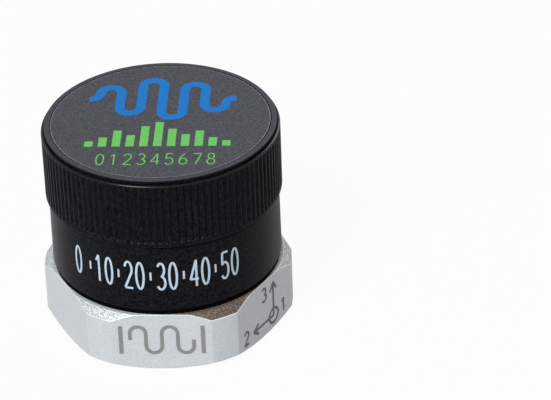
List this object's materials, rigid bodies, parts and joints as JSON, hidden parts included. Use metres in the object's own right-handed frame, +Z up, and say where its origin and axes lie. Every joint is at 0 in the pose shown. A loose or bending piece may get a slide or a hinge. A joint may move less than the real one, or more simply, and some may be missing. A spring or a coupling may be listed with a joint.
{
  "type": "vibration sensor",
  "caption": "Small battery-powered vibration sensor: hex metal base with a threaded mounting hole, tube housing and a ribbed screw cap over the coin cell.",
  "frame": {"origin": "centre of the base's flat mounting face, on the axis of the threaded hole", "axes": "+Z up along the axis, out of the cap's top; +X towards a corner of the hex; -Y out of the front flat"},
  "size_m": [0.0382, 0.036, 0.0333],
  "materials": {
    "anodised_base": "fine turned and milled, satin",
    "black_housing": "black moulded plastic, satin",
    "printed_label": "dark grey printed film, matt",
    "black_rubber": "black sealing rubber",
    "green_board": "solder-masked circuit board",
    "chip_black": "moulded chip package",
    "bright_steel": "plated steel",
    "gold_contact": "plated spring contact",
    "holder_plastic": "glass-filled plastic",
    "foam_grey": "closed-cell foam",
    "ceramic_white": "fired ceramic block",
    "capacitor_yellow": "moulded case",
    "lamp_lens": "clear lens",
    "thermal_grey": "soft filled pad"
  },
  "bodies": {
    "housing": {"hex_base": "anodised_base", "base_gasket": "black_rubber", "body_shell": "black_housing", "shell_screws": "bright_steel", "sensor_board": "green_board", "sensor_board_screws": "bright_steel", "accelerometer": "chip_black", "signal_chip": "chip_black", "temperature_chip": "chip_black", "thermal_pad": "thermal_grey", "link_socket": "holder_plastic", "link_plug": "holder_plastic", "board_posts": "gold_contact", "radio_board": "green_board", "radio_board_screws": "bright_steel", "radio_chip": "chip_black", "shield_can": "bright_steel", "memory_chip": "chip_black", "clock_crystal": "bright_steel", "buffer_capacitor": "capacitor_yellow", "chip_antenna": "ceramic_white", "status_lamp": "lamp_lens", "cell_holder": "holder_plastic", "negative_contact": "gold_contact", "positive_contact": "gold_contact", "coin_cell": "bright_steel"},
    "cap_gasket": {"cap_gasket": "black_rubber"},
    "cap": {"cap": "black_housing", "cap_label": "printed_label", "cell_pad": "foam_grey"}
  },
  "joints": [
    {"name": "cap_lift", "type": "slide", "parent": "housing", "child": "cap_gasket", "axis": [0, 0, 1], "range_m": [0, 0.006]},
    {"name": "cap_turn", "type": "hinge", "parent": "cap_gasket", "child": "cap", "pos_m": [0, 0, 0.028], "axis": [0, 0, 1], "range_deg": [0, 1440]}
  ],
  "couplings": [
    {"joint": "cap_lift", "follows": "cap_turn", "m_per_rad": 0.00023873}
  ]
}
